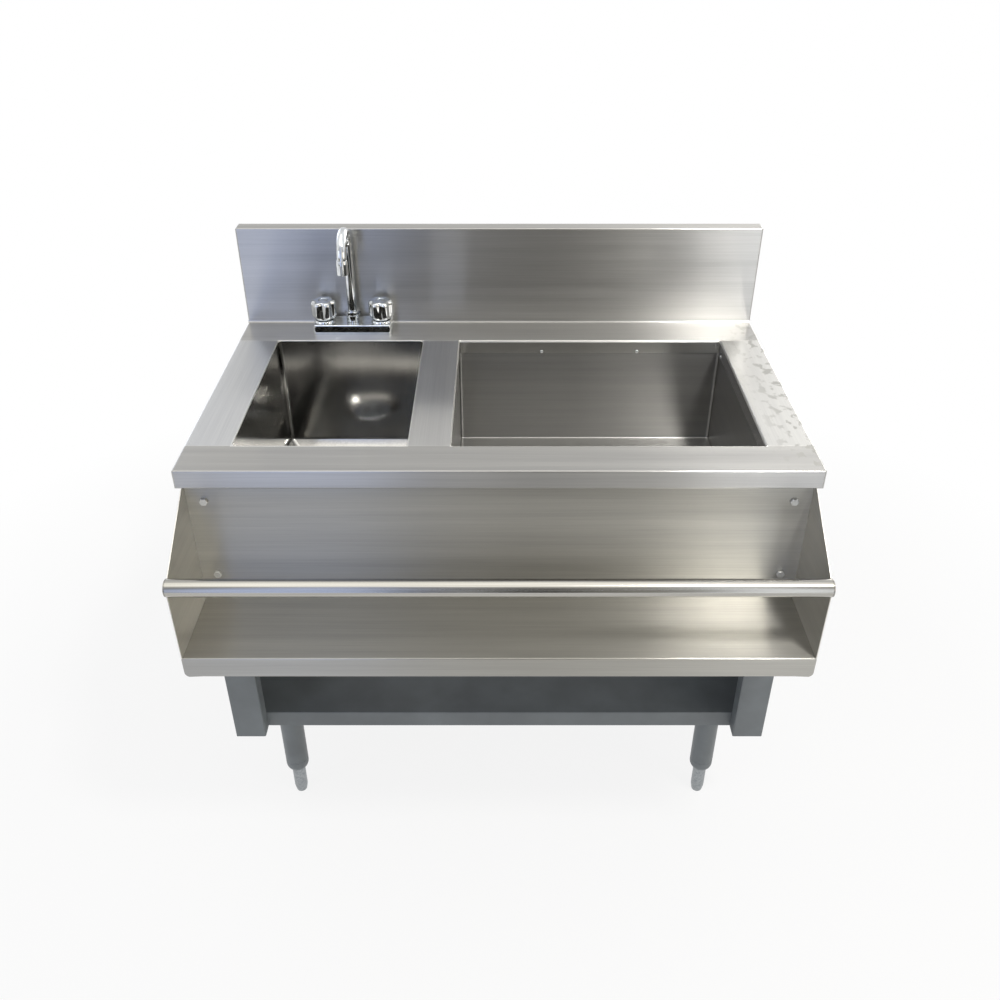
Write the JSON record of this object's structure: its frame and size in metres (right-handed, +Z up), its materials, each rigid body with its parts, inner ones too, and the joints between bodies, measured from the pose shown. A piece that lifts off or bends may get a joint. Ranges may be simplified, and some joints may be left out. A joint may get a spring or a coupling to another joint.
{
  "type": "bar sink with ice bin",
  "caption": "Free-standing steel bar station with a hand sink and gooseneck faucet, an insulated ice bin, a bottle rail along the front, an undershelf and screw-levelled legs.",
  "frame": {"origin": "on the floor, in the middle of the station's outline seen from above", "axes": "+X along the worktop towards the ice bin, +Y towards the wall behind, +Z up"},
  "size_m": [0.914, 0.6468, 0.9969],
  "materials": {
    "brushed_steel": "brushed stainless steel, grain along the long side",
    "galvanised_steel": "matte zinc-coated steel",
    "chrome": "polished",
    "grey_paint": "satin grey powder coat",
    "brass": "satin",
    "foam": "matte rigid foam",
    "rubber": "matte"
  },
  "bodies": {
    "station": {"worktop": "brushed_steel", "backsplash": "brushed_steel", "sink_bowl": "brushed_steel", "sink_drain_flange": "chrome", "sink_drain_gasket": "rubber", "sink_drain_nut": "brass", "sink_tailpiece": "chrome", "bin_liner": "brushed_steel", "bin_insulation": "foam", "bin_jacket": "galvanised_steel", "bin_drain_fitting": "brushed_steel", "bin_drain_nut": "brass", "bin_rivet_back_left": "brushed_steel", "bin_rivet_back_right": "brushed_steel", "bin_rivet_right": "brushed_steel", "side_panel_left": "grey_paint", "side_panel_right": "grey_paint", "undershelf": "grey_paint", "leg_flange_front_left": "galvanised_steel", "leg_tube_front_left": "grey_paint", "leg_collar_front_left": "grey_paint", "leg_flange_front_right": "galvanised_steel", "leg_tube_front_right": "grey_paint", "leg_collar_front_right": "grey_paint", "leg_flange_rear_left": "galvanised_steel", "leg_tube_rear_left": "grey_paint", "leg_collar_rear_left": "grey_paint", "leg_flange_rear_right": "galvanised_steel", "leg_tube_rear_right": "grey_paint", "leg_collar_rear_right": "grey_paint", "rail_back_panel": "brushed_steel", "rail_shelf": "brushed_steel", "rail_end_left": "brushed_steel", "rail_end_right": "brushed_steel", "rail_bar": "brushed_steel", "rail_bar_cap_left": "brushed_steel", "rail_bar_cap_right": "brushed_steel", "rail_bolt_upper_left": "brushed_steel", "rail_bolt_lower_left": "brushed_steel", "rail_bolt_upper_right": "brushed_steel", "rail_bolt_lower_right": "brushed_steel", "faucet_cover": "chrome", "faucet_waterway": "brass", "hot_locknut": "brass", "hot_valve": "chrome", "cold_locknut": "brass", "cold_valve": "chrome", "spout_nut": "chrome"},
    "hot_handle": {"hot_knob": "chrome", "hot_knob_cap": "chrome"},
    "cold_handle": {"cold_knob": "chrome", "cold_knob_cap": "chrome"},
    "swivel_spout": {"spout": "chrome", "spout_aerator": "chrome"},
    "strainer": {"sink_strainer": "chrome"},
    "levelling_foot_front_left": {"foot_front_left": "galvanised_steel"},
    "levelling_foot_front_right": {"foot_front_right": "galvanised_steel"},
    "levelling_foot_rear_left": {"foot_rear_left": "galvanised_steel"},
    "levelling_foot_rear_right": {"foot_rear_right": "galvanised_steel"}
  },
  "joints": [
    {"name": "hot_knob_turn", "type": "hinge", "parent": "station", "child": "hot_handle", "pos_m": [-0.3113, 0.2654, 0.84], "axis": [0, 0, 1], "range_deg": [0, 90]},
    {"name": "cold_knob_turn", "type": "hinge", "parent": "station", "child": "cold_handle", "pos_m": [-0.2097, 0.2654, 0.84], "axis": [0, 0, 1], "range_deg": [-90, 0]},
    {"name": "spout_swivel", "type": "hinge", "parent": "station", "child": "swivel_spout", "pos_m": [-0.2605, 0.2654, 0.83], "axis": [0, 0, 1], "range_deg": [-95, 95]},
    {"name": "strainer_lift", "type": "slide", "parent": "station", "child": "strainer", "axis": [0, 0, 1], "range_m": [0, 0.03]},
    {"name": "foot_front_left_screw", "type": "slide", "parent": "station", "child": "levelling_foot_front_left", "axis": [0, 0, -1], "range_m": [0, 0.025]},
    {"name": "foot_front_right_screw", "type": "slide", "parent": "station", "child": "levelling_foot_front_right", "axis": [0, 0, -1], "range_m": [0, 0.025]},
    {"name": "foot_rear_left_screw", "type": "slide", "parent": "station", "child": "levelling_foot_rear_left", "axis": [0, 0, -1], "range_m": [0, 0.025]},
    {"name": "foot_rear_right_screw", "type": "slide", "parent": "station", "child": "levelling_foot_rear_right", "axis": [0, 0, -1], "range_m": [0, 0.025]}
  ]
}
